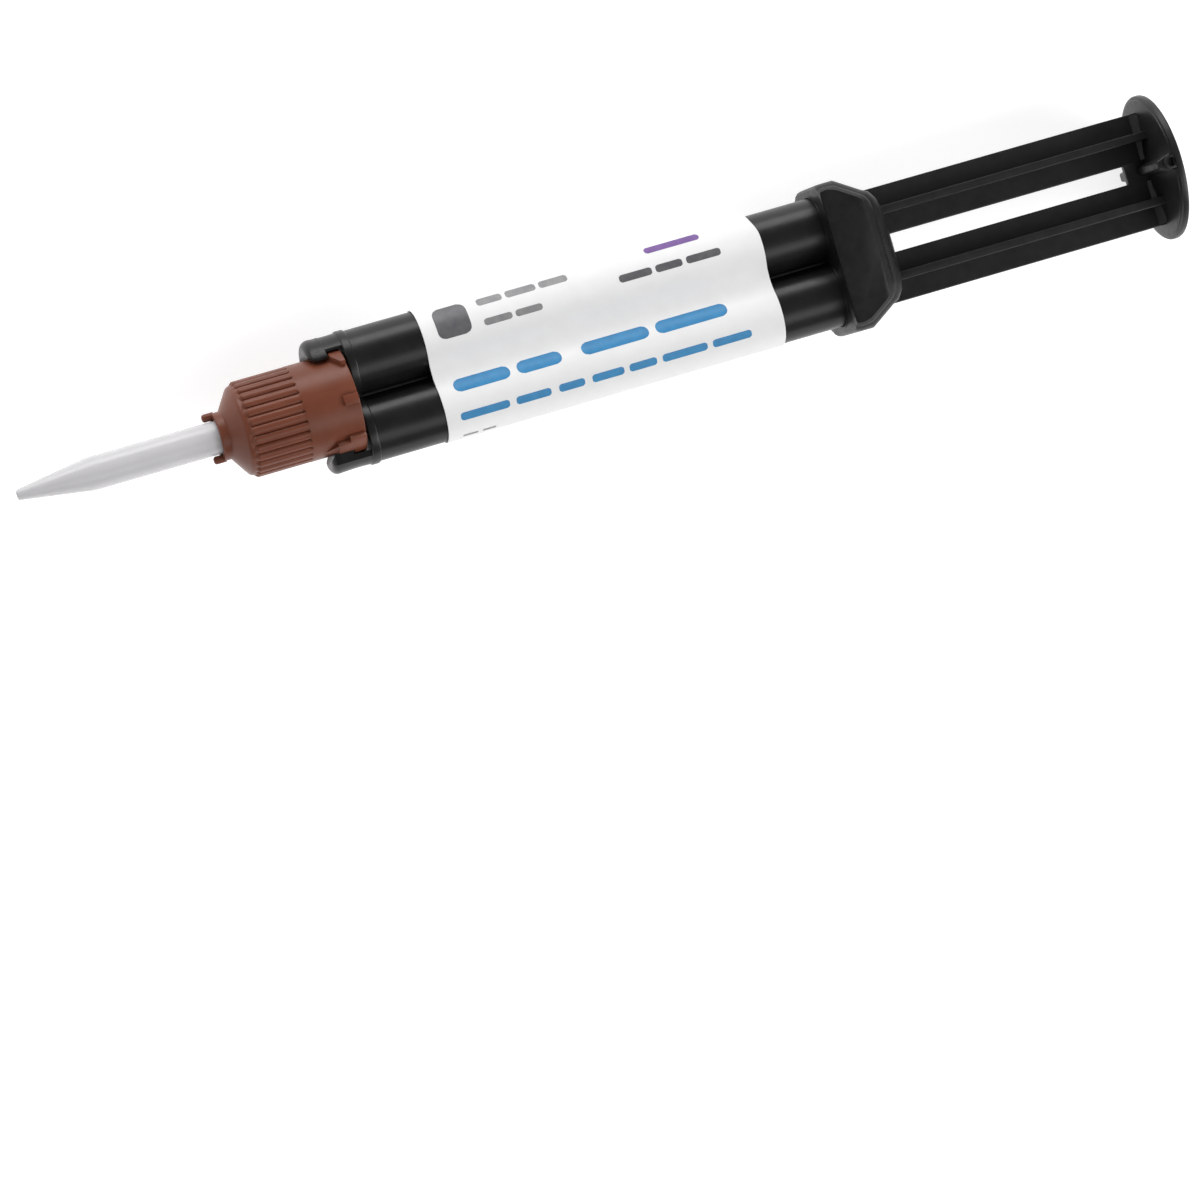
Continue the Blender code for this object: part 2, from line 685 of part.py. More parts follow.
def polygon(centre_x, radius, corners):
    """A regular polygon in x and y with its first corner towards +x."""
    found = []
    for i in range(corners):
        angle = 2 * math.pi * i / corners
        found.append((centre_x + radius * math.cos(angle), radius * math.sin(angle)))
    return found


def thumb_boss():
    """The hexagonal end of the thumb rib at +z, with a dimple in it, a little inside the plate's rim."""
    boss = prism("thumb_boss", polygon(BOSS_X, BOSS_R, 6), BOSS_REACH - BOSS_DEPTH, BOSS_REACH, None, "Z")
    dimple = polygon(BOSS_X, BOSS_DIMPLE_R, 12)
    low, high = BOSS_REACH - BOSS_DIMPLE_DEPTH, BOSS_REACH + PAST
    cut(boss, prism("thumb_boss_dimple", dimple, low, high, None, "Z"))
    return boss


def make_plunger():
    rear = LENGTH
    edge = THUMB_EDGE
    profile = [(rear, 0), (rear, THUMB_R - edge), (rear - edge, THUMB_R)]
    profile += [(THUMB_RIM_FRONT + 0.2, THUMB_R), (THUMB_RIM_FRONT, THUMB_R - 0.25)]
    profile += [(THUMB_INNER + THUMB_SLOPE, THUMB_SLOPE_R), (THUMB_INNER, THUMB_FLAT_R), (THUMB_INNER, 0)]
    plunger = turned("plunger", profile, PLUNGER_FRAME, steps=64)
    top = RIB_TOP_WIDTH / 2
    base = RIB_BASE_WIDTH / 2
    outline = [(RIB_TOP, -top), (THUMB_INNER + 1, -base), (THUMB_INNER + 1, base), (RIB_TOP, top)]
    join(plunger, prism("thumb_rib", outline, -RIB_FAR_REACH, RIB_NEAR_REACH, None, "Z"))
    join(plunger, thumb_boss())
    web_half = FIN_THICK / 2
    web_y = BARREL_Y - ROD_HALF + SINK + 0.2
    low = (ROD_WEB_FRONT, -web_y, -web_half + 0.03)
    join(plunger, block("rod_web", low, (THUMB_INNER + SINK * 2, web_y, web_half - 0.03)))
    for side in (-1, 1):
        y = side * BARREL_Y
        join(plunger, *fins(side))
        join(plunger, rod(f"rod_disc_{side}", ROD_FRONT, ROD_DISC_REAR, ROD_HALF - 0.02, None, y))
        join(plunger, rod(f"stem_{side}", STEM_FRONT, ROD_FRONT + SINK + 0.2, STEM_R, None, y, SMALL_STEPS))
    use_manifold_solver(plunger)
    return finish(plunger, BLACK_SATIN)


make_mixer_tube()
make_mixer_element()
make_mixer_inlet()
make_bayonet_collar()
make_barrel_body()
make_finger_flange()
make_label_wrap()
make_plunger()
for paste_name, paste_side, paste_colour in (("base", 1, BASE_PASTE), ("catalyst", -1, CATALYST_PASTE)):
    make_piston(f"{paste_name}_piston", paste_side)
    make_seal(f"{paste_name}_piston_seal", paste_side)
    make_paste(f"{paste_name}_paste", paste_side, paste_colour)
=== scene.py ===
"""The looks of the double-barrel automix syringe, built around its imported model.

Fine pieces are drawn in millimetres in the syringe frame: x runs from the outlet of the mixing tip
along the axis, y goes through both barrels and z is normal to their plane. PLACE carries that frame
into the model's.
"""

import math
import random

import bmesh
import bpy
from mathutils import Matrix, Vector


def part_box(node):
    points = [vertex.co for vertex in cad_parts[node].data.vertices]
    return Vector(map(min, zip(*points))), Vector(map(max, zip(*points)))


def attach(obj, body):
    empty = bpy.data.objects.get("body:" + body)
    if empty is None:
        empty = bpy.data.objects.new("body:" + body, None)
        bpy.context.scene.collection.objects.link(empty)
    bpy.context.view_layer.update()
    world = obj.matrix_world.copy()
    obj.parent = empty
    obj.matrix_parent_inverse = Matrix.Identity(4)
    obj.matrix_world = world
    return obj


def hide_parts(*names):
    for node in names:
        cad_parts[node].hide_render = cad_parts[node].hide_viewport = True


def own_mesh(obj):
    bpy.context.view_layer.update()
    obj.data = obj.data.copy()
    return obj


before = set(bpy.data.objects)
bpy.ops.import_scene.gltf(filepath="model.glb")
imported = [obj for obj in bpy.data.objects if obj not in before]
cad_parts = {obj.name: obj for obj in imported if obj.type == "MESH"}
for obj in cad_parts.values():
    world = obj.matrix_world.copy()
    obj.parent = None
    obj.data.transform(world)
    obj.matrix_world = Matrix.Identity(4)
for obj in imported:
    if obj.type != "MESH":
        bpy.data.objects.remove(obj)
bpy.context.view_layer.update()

MM = 0.001
TIP_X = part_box("mixer_tube")[0].x
AXIS_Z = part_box("plunger")[1].z / 2
PLACE = Matrix.Translation((TIP_X, 0, AXIS_Z)) @ Matrix.Scale(MM, 4)


def ends(node):
    """Where a CAD node starts and ends along the axis, in millimetres from the outlet."""
    low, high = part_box(node)
    return (low.x - TIP_X) / MM, (high.x - TIP_X) / MM


PRONG_FRONT, COLLAR_REAR = ends("bayonet_collar")
HOUSING_REAR = ends("mixer_tube")[1]
LABEL_FRONT, LABEL_REAR = ends("label_wrap")
FLANGE_FRONT, FLANGE_REAR = ends("finger_flange")
HOOK_FRONT, BARREL_REAR = ends("barrel_body")
LENGTH = ends("plunger")[1]
THUMB_R = AXIS_Z / MM

# Mixing tip
TUBE_R = 2.06
TUBE_BORE_R = 1.32
HOUSING_R = 4.6
HOUSING_BORE_R = 4.0
HOUSING_STEP = 29.75
STRIP_COUNT = 10
STRIP_START = 9.6
STRIP_PITCH = 2.55
STRIP_HALF_WIDTH = 1.2
STRIP_HALF_THICK = 0.22
STRIP_OVERLAP = 0.05
STRIP_CUTS = 24

# Barrels
BARREL_Y = 4.23
BARREL_R = 4.0
BORE_R = 3.15
BORE_FRONT = 45.4
PLATE_FRONT = 42.45
PLATE_REAR = 43.6
PLATE_R = 4.2
PLATE_NOTCH_Z = 1.0
HOOK_R = 4.1
HOOKS = {1: (38.0, 3.4), -1: (37.5, 2.7)}  # by side: front end, half width along z
CLAW_REAR = 40.35
CLAW_HALF_ANGLE = math.radians(72)
CLAW_BORE_R = 6.4
SLOT_BORE_R = 7.05
NOZZLE_FRONT = 39.2
NOZZLE_Y = 1.9
NOZZLE_R = 1.3
NOZZLE_BORE_R = 0.65
WEB_HALF_Y = 1.6
WEB_HALF_Z = 0.75
STRAP_REAR = PLATE_REAR - 0.3

# Bayonet collar
NECK_FRONT = 25.2
NECK_R = 3.0
NECK_BORE_R = 2.4
CONE_FRONT = 26.25
CONE_REAR = 27.85
CONE_R = 5.4
RIB_FRONT = 28.25
RIB_REAR = 35.5
RIB_COUNT = 30
RIB_ROOT_R = 5.6
RIB_R = 5.99
SKIRT_R = 6.02
COLLAR_BORE_R = 4.85
COLLAR_BORE_FRONT = 29.1
COLLAR_BORE_NECK = 26.8
PRONG_Y = 2.63
PRONG_R = 0.5
PRONG_TIP = 0.32
LUG_FRONT = 40.5
LUG_REAR = 42.1
LUG_R = 6.75
LUG_HALF_ANGLE = math.radians(46.5)
LUG_INNER_R = 5.6
LUG_RAMP_ANGLE = math.radians(13)
LUG_RAMP_DEPTH = 0.95
STOP_HALF_ANGLE = math.radians(41)
STOP_FRONT = 38.5
STOP_MIDDLE = 40.0
STOP_NOSE = 36.7
STOP_EDGE = 0.09
KEY_FRONT = 40.25
KEY_REAR = 42.15
KEY_Y = -0.08
KEY_HALF_Y = 0.63
KEY_TOP = 6.4

# Flange: its outlines are (x from its front, y), around the middle and at both flat sides.
FLANGE_FULL = [(0, 9.05), (0.2, 9.3), (0.6, 9.42), (2.5, 9.45), (3.3, 8.95), (5.7, 7.4), (6.6, 6.95)]
FLANGE_FULL += [(7.35, 5.9), (7.8, 4.5), (FLANGE_REAR - FLANGE_FRONT, 0)]
FLANGE_FLAT = [(0, 8.3), (0.4, 8.42), (1.0, 8.45), (1.9, 8.2), (2.5, 7.85), (4.4, 6.6), (4.85, 6.2)]
FLANGE_FLAT += [(5.05, 5.7), (5.15, 4.5), (5.2, 0)]
FLANGE_FULL_Z = 3.6
FLANGE_HALF_Z = 6.2
# Each level is (z, how far the outline has gone from full to flat).
FLANGE_LEVELS = [(FLANGE_FULL_Z, 0), (4.0, 0.01), (4.3, 0.04), (4.6, 0.1), (4.9, 0.21), (5.2, 0.37)]
FLANGE_LEVELS += [(5.4, 0.52), (5.46, 0.57), (5.58, 0.6), (5.8, 0.72), (6.02, 0.88), (6.12, 0.95)]
FLANGE_LEVELS += [(6.18, 0.985), (FLANGE_HALF_Z, 1)]
LIP_DEPTH = 0.12
LIP_WIDTH = 0.2
POCKET_R = 4.12
POCKET_REAR = 108.9
ROD_HOLE_R = 3.3
WEB_SLOT_FRONT = 109.9
WEB_POCKET_GAP = 0.12
WEB_SLOT_GAP = 0.2

# Plunger
FIN_HALF = 3.06
FIN_THICK = 1.05
ROD_FRONT = 86.4
ROD_DISC_REAR = 87.4
STEM_FRONT = 83.0
STEM_R = 1.0
ROD_WEB_FRONT = 145.4
THUMB_INNER = 148.2
THUMB_RIM_FRONT = 149.1
RIB_TOP_X = 147.0
RIB_TOP_HALF = 0.5
RIB_BASE_HALF = 1.25
RIB_NEAR_Z = THUMB_R - 0.9
RIB_FAR_Z = -6.5
BOSS_X = 148.6
BOSS_R = 0.98
BOSS_TOP = 9.12
BOSS_DEPTH = 1.6
DIMPLE_R = 0.56
DIMPLE_DEPTH = 0.7

# Label
LABEL_R = 4.2
LABEL_THICK = 0.14
VALLEY_Y = 2.0
INK_ABOVE = 0.012
INK_BELOW = -0.05
INK_ROW = 0.18

# The print, as (x from, x to, y from, y to). A row also has its bars' shortest and longest, and their gap.
GREY_ROWS = [
    ((59.9, 73.0, 6.5, 7.35), (2.6, 4.6), 0.55),
    ((60.0, 70.5, 3.95, 4.8), (2.6, 4.6), 0.55),
    ((54.1, 60.0, -8.2, -8.02), (1.6, 2.4), 0.5),
]
BLUE_ROWS = [((54.0, 94.2, -6.35, -5.4), (3.2, 6.5), 0.8)]
DARK_ROWS = [((77.7, 93.6, 4.4, 5.35), (3.4, 5.0), 0.6)]
WIDE_BARS = ((54.2, 61.5), (62.4, 68.2), (70.8, 79.6), (80.5, 89.9))
WIDE_BARS_Y = (-2.9, -1.3)
WIDE_BARS_CORNER = 0.8
SWATCH = (54.1, 58.4, 3.7, 7.5)
SWATCH_CORNER = 0.9
PURPLE_BAR = (82.0, 89.2, 7.0, 7.75)
PURPLE_CORNER = 0.35
PRINT_SEED = 7


# Drafts: closed meshes in millimetres, joined and cut before they are placed.


def draft(name, bm):
    bmesh.ops.recalc_face_normals(bm, faces=bm.faces)
    mesh = bpy.data.meshes.new(name)
    bm.to_mesh(mesh)
    bm.free()
    obj = bpy.data.objects.new(name, mesh)
    bpy.context.scene.collection.objects.link(obj)
    return obj


def loft(name, rings, closed=False):
    """Rings of points with equal counts, skinned; open lofts get flat ends, closed ones join up."""
    bm = bmesh.new()
    made = [[bm.verts.new(point) for point in ring] for ring in rings]
    pairs = list(zip(made, made[1:]))
    if closed:
        pairs.append((made[-1], made[0]))
    for first, second in pairs:
        for i, corner in enumerate(first):
            bm.faces.new((first[i - 1], corner, second[i], second[i - 1]))
    if not closed:
        bm.faces.new(made[0])
        bm.faces.new(made[-1])
    return draft(name, bm)


def circle(x, radius, steps, centre_y=0.0, centre_z=0.0):
    found = []
    for i in range(steps):
        angle = 2 * math.pi * i / steps
        reach = radius(x, angle) if callable(radius) else radius
        found.append((x, centre_y + reach * math.cos(angle), centre_z + reach * math.sin(angle)))
    return found


def turned(name, profile, steps=96, centre_y=0.0, closed=False):
    """Circles of radius r at each x of the profile. A closed profile makes a ring or a tube."""
    return loft(name, [circle(x, r, steps, centre_y) for x, r in profile], closed)


def prism_x(name, outline, low, high, edge=0.0, segments=3):
    rings = [[(x, y, z) for y, z in outline] for x in (low, high)]
    return rounded(loft(name, rings), edge, segments)


def prism_z(name, outline, low, high, edge=0.0, segments=3):
    rings = [[(x, y, z) for x, y in outline] for z in (low, high)]
    return rounded(loft(name, rings), edge, segments)


def block(name, low, high, edge=0.0, segments=2):
    x0, y0, z0 = low
    x1, y1, z1 = high
    return prism_x(name, [(y0, z0), (y1, z0), (y1, z1), (y0, z1)], x0, x1, edge, segments)


def rounded(obj, width, segments=3, angle=38):
    """Rounds the edges of a draft that are sharper than the angle."""
    if not width:
        return obj
    bm = bmesh.new()
    bm.from_mesh(obj.data)
    sharp = [e for e in bm.edges if e.calc_face_angle(0) > math.radians(angle)]
    bmesh.ops.bevel(bm, geom=sharp, offset=width, segments=segments, profile=0.5, affect="EDGES")
    bm.to_mesh(obj.data)
    bm.free()
    return obj


def arc(centre_y, radius, start, end, steps):
    """Points (y, z) on a circle about (centre_y, 0), angles measured from +y towards +z."""
    found = []
    for i in range(steps + 1):
        angle = start + (end - start) * i / steps
        found.append((centre_y + radius * math.cos(angle), radius * math.sin(angle)))
    return found


def combine(obj, others, operation):
    """Joins other drafts to this one, or cuts them from it, and uses them up."""
    for other in others:
        modifier = obj.modifiers.new("combine", "BOOLEAN")
        modifier.operation = operation
        modifier.solver = "MANIFOLD"
        modifier.object = other
    bpy.context.view_layer.update()
    graph = bpy.context.evaluated_depsgraph_get()
    mesh = bpy.data.meshes.new_from_object(obj.evaluated_get(graph))
    obj.modifiers.clear()
    obj.data = mesh
    for other in others:
        bpy.data.objects.remove(other)
    return obj


def join(obj, *others):
    return combine(obj, others, "UNION")


def cut(obj, *others):
    return combine(obj, others, "DIFFERENCE")


def piece(obj, name, body, material, node=None, sharp=32):
    """A finished draft, placed in the model's frame, riding on its body in place of a CAD node."""
    obj.name = name
    obj.data.transform(PLACE)
    obj.data.materials.clear()
    obj.data.materials.append(material)
    obj.data.shade_smooth()
    obj.data.set_sharp_from_angle(angle=math.radians(sharp))
    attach(obj, body)
    if node:
        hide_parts(node)
    return obj


# Materials


def principled(name):
    made = bpy.data.materials.new(name)
    made.use_nodes = True
    return made, made.node_tree, made.node_tree.nodes["Principled BSDF"]


def noise(tree, scale, detail=3.0):
    """A noise of the given number of cells a metre, the same from every side."""
    coordinates = tree.nodes.new("ShaderNodeTexCoord")
    texture = tree.nodes.new("ShaderNodeTexNoise")
    texture.inputs["Scale"].default_value = scale
    texture.inputs["Detail"].default_value = detail
    tree.links.new(coordinates.outputs["Object"], texture.inputs["Vector"])
    return texture.outputs["Fac"]


def spread(tree, factor, low, high):
    """Maps a noise's middle range to low..high."""
    mapping = tree.nodes.new("ShaderNodeMapRange")
    mapping.inputs["From Min"].default_value = 0.3
    mapping.inputs["From Max"].default_value = 0.7
    mapping.inputs["To Min"].default_value = low
    mapping.inputs["To Max"].default_value = high
    tree.links.new(factor, mapping.inputs["Value"])
    return mapping.outputs["Result"]


def moulded(name, dark, light, rough, mottle, grain, depth, **settings):
    """Moulded plastic: mottled colour, uneven gloss, and a fine grain of the given depth in metres."""
    made, tree, shader = principled(name)
    colours = tree.nodes.new("ShaderNodeMix")
    colours.data_type = "RGBA"
    colours.inputs["A"].default_value = (*dark, 1)
    colours.inputs["B"].default_value = (*light, 1)
    tree.links.new(spread(tree, noise(tree, mottle), 0, 1), colours.inputs["Factor"])
    tree.links.new(colours.outputs["Result"], shader.inputs["Base Color"])
    tree.links.new(spread(tree, noise(tree, mottle * 3), *rough), shader.inputs["Roughness"])
    bump = tree.nodes.new("ShaderNodeBump")
    bump.inputs["Distance"].default_value = depth
    bump.inputs["Strength"].default_value = 1.0
    tree.links.new(noise(tree, grain, 2.0), bump.inputs["Height"])
    tree.links.new(bump.outputs["Normal"], shader.inputs["Normal"])
    for key, value in settings.items():
        shader.inputs[key.replace("_", " ")].default_value = value
    return made


GLOSS_BLACK = moulded(
    "gloss_black", (0.006, 0.006, 0.0063), (0.010, 0.0098, 0.0095), (0.28, 0.34), 350, 5200, 0.000001,
    Specular_IOR_Level=0.33,
)
SATIN_BLACK = moulded(
    "satin_black", (0.006, 0.006, 0.0063), (0.010, 0.010, 0.010), (0.32, 0.42), 420, 7000, 0.000004,
    Specular_IOR_Level=0.27,
)
ROD_BLACK = moulded(
    "rod_black", (0.011, 0.011, 0.0112), (0.016, 0.0158, 0.0158), (0.32, 0.42), 420, 7000, 0.000004,
    Specular_IOR_Level=0.3,
)
BROWN = moulded(
    "red_brown", (0.142, 0.041, 0.021), (0.170, 0.051, 0.028), (0.30, 0.40), 300, 4200, 0.000004,
    Specular_IOR_Level=0.27,
)
CLEAR = moulded(
    "milky_clear", (0.73, 0.72, 0.735), (0.76, 0.75, 0.765), (0.16, 0.22), 260, 2200, 0.0000003,
    Transmission_Weight=0.3, IOR=1.45,
)
WHITE = moulded(
    "natural_white", (0.72, 0.72, 0.72), (0.8, 0.8, 0.79), (0.35, 0.5), 400, 4000, 0.000005
)
PAPER = moulded(
    "label_film", (0.80, 0.80, 0.80), (0.825, 0.825, 0.825), (0.45, 0.55), 500, 6500, 0.000002,
    Specular_IOR_Level=0.25,
)
RUBBER = moulded(
    "seal_rubber", (0.012, 0.012, 0.012), (0.022, 0.022, 0.021), (0.6, 0.75), 800, 9000, 0.00001
)
BASE_PASTE = moulded(
    "base_paste", (0.72, 0.64, 0.48), (0.8, 0.73, 0.58), (0.35, 0.5), 600, 3000, 0.00002
)
CATALYST_PASTE = moulded(
    "catalyst_paste", (0.76, 0.74, 0.68), (0.84, 0.82, 0.77), (0.35, 0.5), 600, 3000, 0.00002
)
BLUE_INK = moulded("blue_ink", (0.012, 0.19, 0.42), (0.02, 0.23, 0.48), (0.4, 0.5), 900, 9000, 0.000002)
GREY_INK = moulded("grey_ink", (0.2, 0.2, 0.21), (0.26, 0.26, 0.26), (0.4, 0.5), 900, 9000, 0.000002)
DARK_INK = moulded("dark_ink", (0.09, 0.09, 0.1), (0.12, 0.12, 0.125), (0.4, 0.5), 900, 9000, 0.000002)
PURPLE_INK = moulded("purple_ink", (0.13, 0.05, 0.24), (0.17, 0.07, 0.3), (0.4, 0.5), 900, 9000, 0.000002)


# Mixing tip


def make_tube():
    """The tip's tube and the housing at its rear, one moulding with a rounded outlet."""
    outer = [(HOUSING_REAR, HOUSING_R), (29.0, HOUSING_R), (26.9, TUBE_R), (9.6, TUBE_R)]
    outer += [(8.8, 2.0), (8.2, 1.9), (0.32, 0.69), (0.1, 0.62), (0, 0.5)]
    inner = [(0.05, 0.36), (0.4, 0.33), (8.6, 1.28), (9.4, TUBE_BORE_R), (HOUSING_STEP, TUBE_BORE_R)]
    inner += [(HOUSING_STEP, HOUSING_BORE_R), (HOUSING_REAR, HOUSING_BORE_R)]
    tube = turned("tube", outer + inner, 72, closed=True)
    return piece(tube, "tip_tube", "barrel", CLEAR, "mixer_tube", 25)


def mixing_strip(index):
    """A flat strip twisted by half a turn, left or right in turn, each one square to the last."""
    wide, thick = STRIP_HALF_WIDTH, STRIP_HALF_THICK
    corners = [(-wide, -thick), (wide, -thick), (wide, thick), (-wide, thick)]
    start = STRIP_START + index * STRIP_PITCH - STRIP_OVERLAP
    hand = 1 if index % 2 else -1
    rings = []
    for i in range(STRIP_CUTS + 1):
        share = i / STRIP_CUTS
        angle = hand * math.pi * (share - 0.5) + index * math.pi / 2
        turn = Matrix.Rotation(angle, 2)
        x = start + share * (STRIP_PITCH + 2 * STRIP_OVERLAP)
        rings.append([(x, *(turn @ Vector(corner))) for corner in corners])
    return loft(f"strip_{index}", rings)


def make_mixer():
    element = join(*[mixing_strip(i) for i in range(STRIP_COUNT)])
    return piece(element, "static_mixer", "barrel", WHITE, "mixer_element")


# Bayonet collar


def smooth(value):
    value = min(max(value, 0), 1)
    return value * value * (3 - 2 * value)


def rib_radius(x, angle):
    """Convex ribs with narrow grooves between them, rounded off at the front and ending at the skirt."""
    phase = angle * RIB_COUNT / (2 * math.pi)
    off_crest = 2 * abs(phase - round(phase))
    height = (1 - off_crest**2.4) ** 0.6
    front = smooth((x - RIB_FRONT - 0.3 * off_crest**2) / 0.5)
    groove = (1 - height) * smooth((RIB_REAR - 0.3 * (1 - off_crest) - x) / 0.22)
    crest = RIB_ROOT_R + (RIB_R - RIB_ROOT_R) * front
    rear = smooth((x - RIB_REAR + 0.12) / 0.15)
    return crest - (RIB_R - RIB_ROOT_R) * groove * front + (SKIRT_R - RIB_R) * rear


def collar_shell():
    """Neck, cone, ribs and skirt from the front, then the bore from the rear."""
    stations = [(NECK_FRONT, NECK_R - 0.16), (NECK_FRONT + 0.05, NECK_R - 0.05)]
    stations += [(NECK_FRONT + 0.14, NECK_R), (CONE_FRONT - 0.06, NECK_R), (CONE_FRONT, NECK_R + 0.08)]
    stations += [(CONE_REAR - 0.1, CONE_R - 0.12), (CONE_REAR + 0.06, CONE_R + 0.06)]
    stations += [(RIB_FRONT - 0.02, RIB_ROOT_R)]
    ribs = [RIB_FRONT + 0.09 * i for i in range(1, 10)]
    ribs += [RIB_FRONT + 1.2 + 0.8 * i for i in range(7)]
    ribs += [RIB_REAR - 0.6 + 0.06 * i for i in range(12)]
    stations += [(x, rib_radius) for x in ribs]
    stations += [(RIB_REAR + 0.3 + 0.85 * i, SKIRT_R) for i in range(8)]
    stations += [(COLLAR_REAR - 0.12, SKIRT_R), (COLLAR_REAR - 0.03, SKIRT_R - 0.05)]
    stations += [(COLLAR_REAR, SKIRT_R - 0.14), (COLLAR_REAR, COLLAR_BORE_R)]
    stations += [(COLLAR_BORE_FRONT, COLLAR_BORE_R), (COLLAR_BORE_NECK, NECK_BORE_R)]
    stations += [(NECK_FRONT, NECK_BORE_R)]
    return turned("collar", stations, RIB_COUNT * 12, closed=True)


def lug(side):
    """A bayonet lug. The front corner of the one at +y is ramped at its near end."""
    middle = 0 if side > 0 else math.pi
    steps = 24
    rings = []
    for i in range(steps + 1):
        turn = -LUG_HALF_ANGLE + 2 * LUG_HALF_ANGLE * i / steps
        ramp = max(0, turn - LUG_HALF_ANGLE + LUG_RAMP_ANGLE) / LUG_RAMP_ANGLE if side > 0 else 0
        front = LUG_FRONT + LUG_RAMP_DEPTH * ramp
        angle = middle + turn
        section = [(front, LUG_INNER_R), (front, LUG_R), (LUG_REAR, LUG_R), (LUG_REAR, LUG_INNER_R)]
        ring = []
        for x, r in section:
            ring.append((x, r * math.cos(angle), r * math.sin(angle)))
        rings.append(ring)
    return rounded(loft(f"lug_{side}", rings), 0.13, 2, 50)


def stop_outline(end_angle, top_r=LUG_R, steps=8):
    flat_z = HOOKS[-1][1] + 0.25
    inner = SKIRT_R - 0.3
    points = arc(0, top_r, math.pi - math.asin(flat_z / top_r), end_angle, steps)
    return points + arc(0, inner, end_angle, math.pi - math.asin(flat_z / inner), steps)


def stops():
    """The stop beside the lower hook, in two steps, with a pointed ramp leading up to it."""
    outline = stop_outline(math.pi - LUG_HALF_ANGLE)
    wide = prism_x("wide", outline, STOP_MIDDLE, COLLAR_REAR - 0.4, STOP_EDGE, 2)
    end_angle = math.pi - STOP_HALF_ANGLE
    narrow = prism_x("narrow", stop_outline(end_angle), STOP_FRONT, STOP_MIDDLE + 0.2, STOP_EDGE, 2)
    outline = stop_outline(end_angle + math.radians(2), LUG_R - 0.1)
    nose = prism_x("nose", outline, STOP_NOSE, STOP_FRONT + 0.2)
    tip_r, tip_z = SKIRT_R - 0.1, 2.2
    apex = Vector((STOP_NOSE, -math.sqrt(tip_r**2 - tip_z**2), tip_z))
    for vert in nose.data.vertices:
        if vert.co.x < STOP_NOSE + 0.1:
            vert.co = vert.co.lerp(apex, 0.95)
    return wide, narrow, nose


def prong(side):
    """A round pin in front of the neck, beside the tube, with a blunt rounded tip."""
    steps = 6
    profile = []
    for i in range(steps + 1):
        angle = math.pi / 2 * i / steps
        x = PRONG_FRONT + PRONG_TIP * (1 - math.cos(angle))
        profile.append((x, PRONG_R * (0.25 + 0.75 * math.sin(angle))))
    profile.append((NECK_FRONT + 0.3, PRONG_R))
    return turned(f"prong_{side}", profile, 24, side * PRONG_Y)


def make_collar():
    collar = collar_shell()
    low = (KEY_FRONT, KEY_Y - KEY_HALF_Y, SKIRT_R - 0.4)
    key = block("key", low, (KEY_REAR, KEY_Y + KEY_HALF_Y, KEY_TOP), 0.09)
    join(collar, prong(-1), prong(1), lug(-1), lug(1), *stops(), key)
    return piece(collar, "twist_collar", "collar", BROWN, "bayonet_collar", 28)


# Barrels


def figure_eight(radius, notch_z, steps=48):
    """Two circles about the barrel centres, joined deep in the valley by a short flat."""
    bridge_y = BARREL_Y - math.sqrt(radius**2 - notch_z**2)
    half = math.pi - math.acos((BARREL_Y - bridge_y) / radius)
    right = arc(BARREL_Y, radius, -half, half, steps)
    return right + [(-y, z) for y, z in reversed(right)]


def wall(name, side, front, rear, nose, sag, outline):
    """Part of a claw, lofted along x. Its outline takes how far it is drawn in, most at its round nose."""
    rings = []
    steps = 8
    for i in range(steps + 1):
        angle = math.pi / 2 * i / steps
        rings.append((front + nose * (1 - math.cos(angle)), nose * (1 - math.sin(angle))))
    for i in range(1, steps + 1):
        share = i / steps
        rings.append((front + nose + (rear - front - nose) * share, sag * math.sin(math.pi * share)))
    return loft(name, [[(x, side * y, z) for y, z in outline(inset)] for x, inset in rings])


def hook(side):
    """One claw: the front of the barrel's outer wall, its nose rounded and its back slightly saddled."""
    front, half_z = HOOKS[side]

    def strap(inset):
        half = math.asin((half_z - inset * 0.8) / HOOK_R)
        outer = arc(BARREL_Y, HOOK_R - inset, -half, half, 20)
        low, high = outer[0][1], outer[-1][1]
        return outer + [(BARREL_Y + 0.3, high), (BARREL_Y + 0.3, low)]

    def wrapped(inset):
        half = CLAW_HALF_ANGLE - inset * 0.35
        return arc(BARREL_Y, HOOK_R - inset * 0.9, -half, half, 32)

    if side < 0:
        return wall("strap", side, front, STRAP_REAR, 0.85, 0.1, strap)
    end = wall("claw_end", side, front, CLAW_REAR, 1.0, 0.05, wrapped)
    return join(wall("strap", side, front + 0.1, STRAP_REAR, 1.0, 0.1, strap), rounded(end, 0.2, 3, 50))


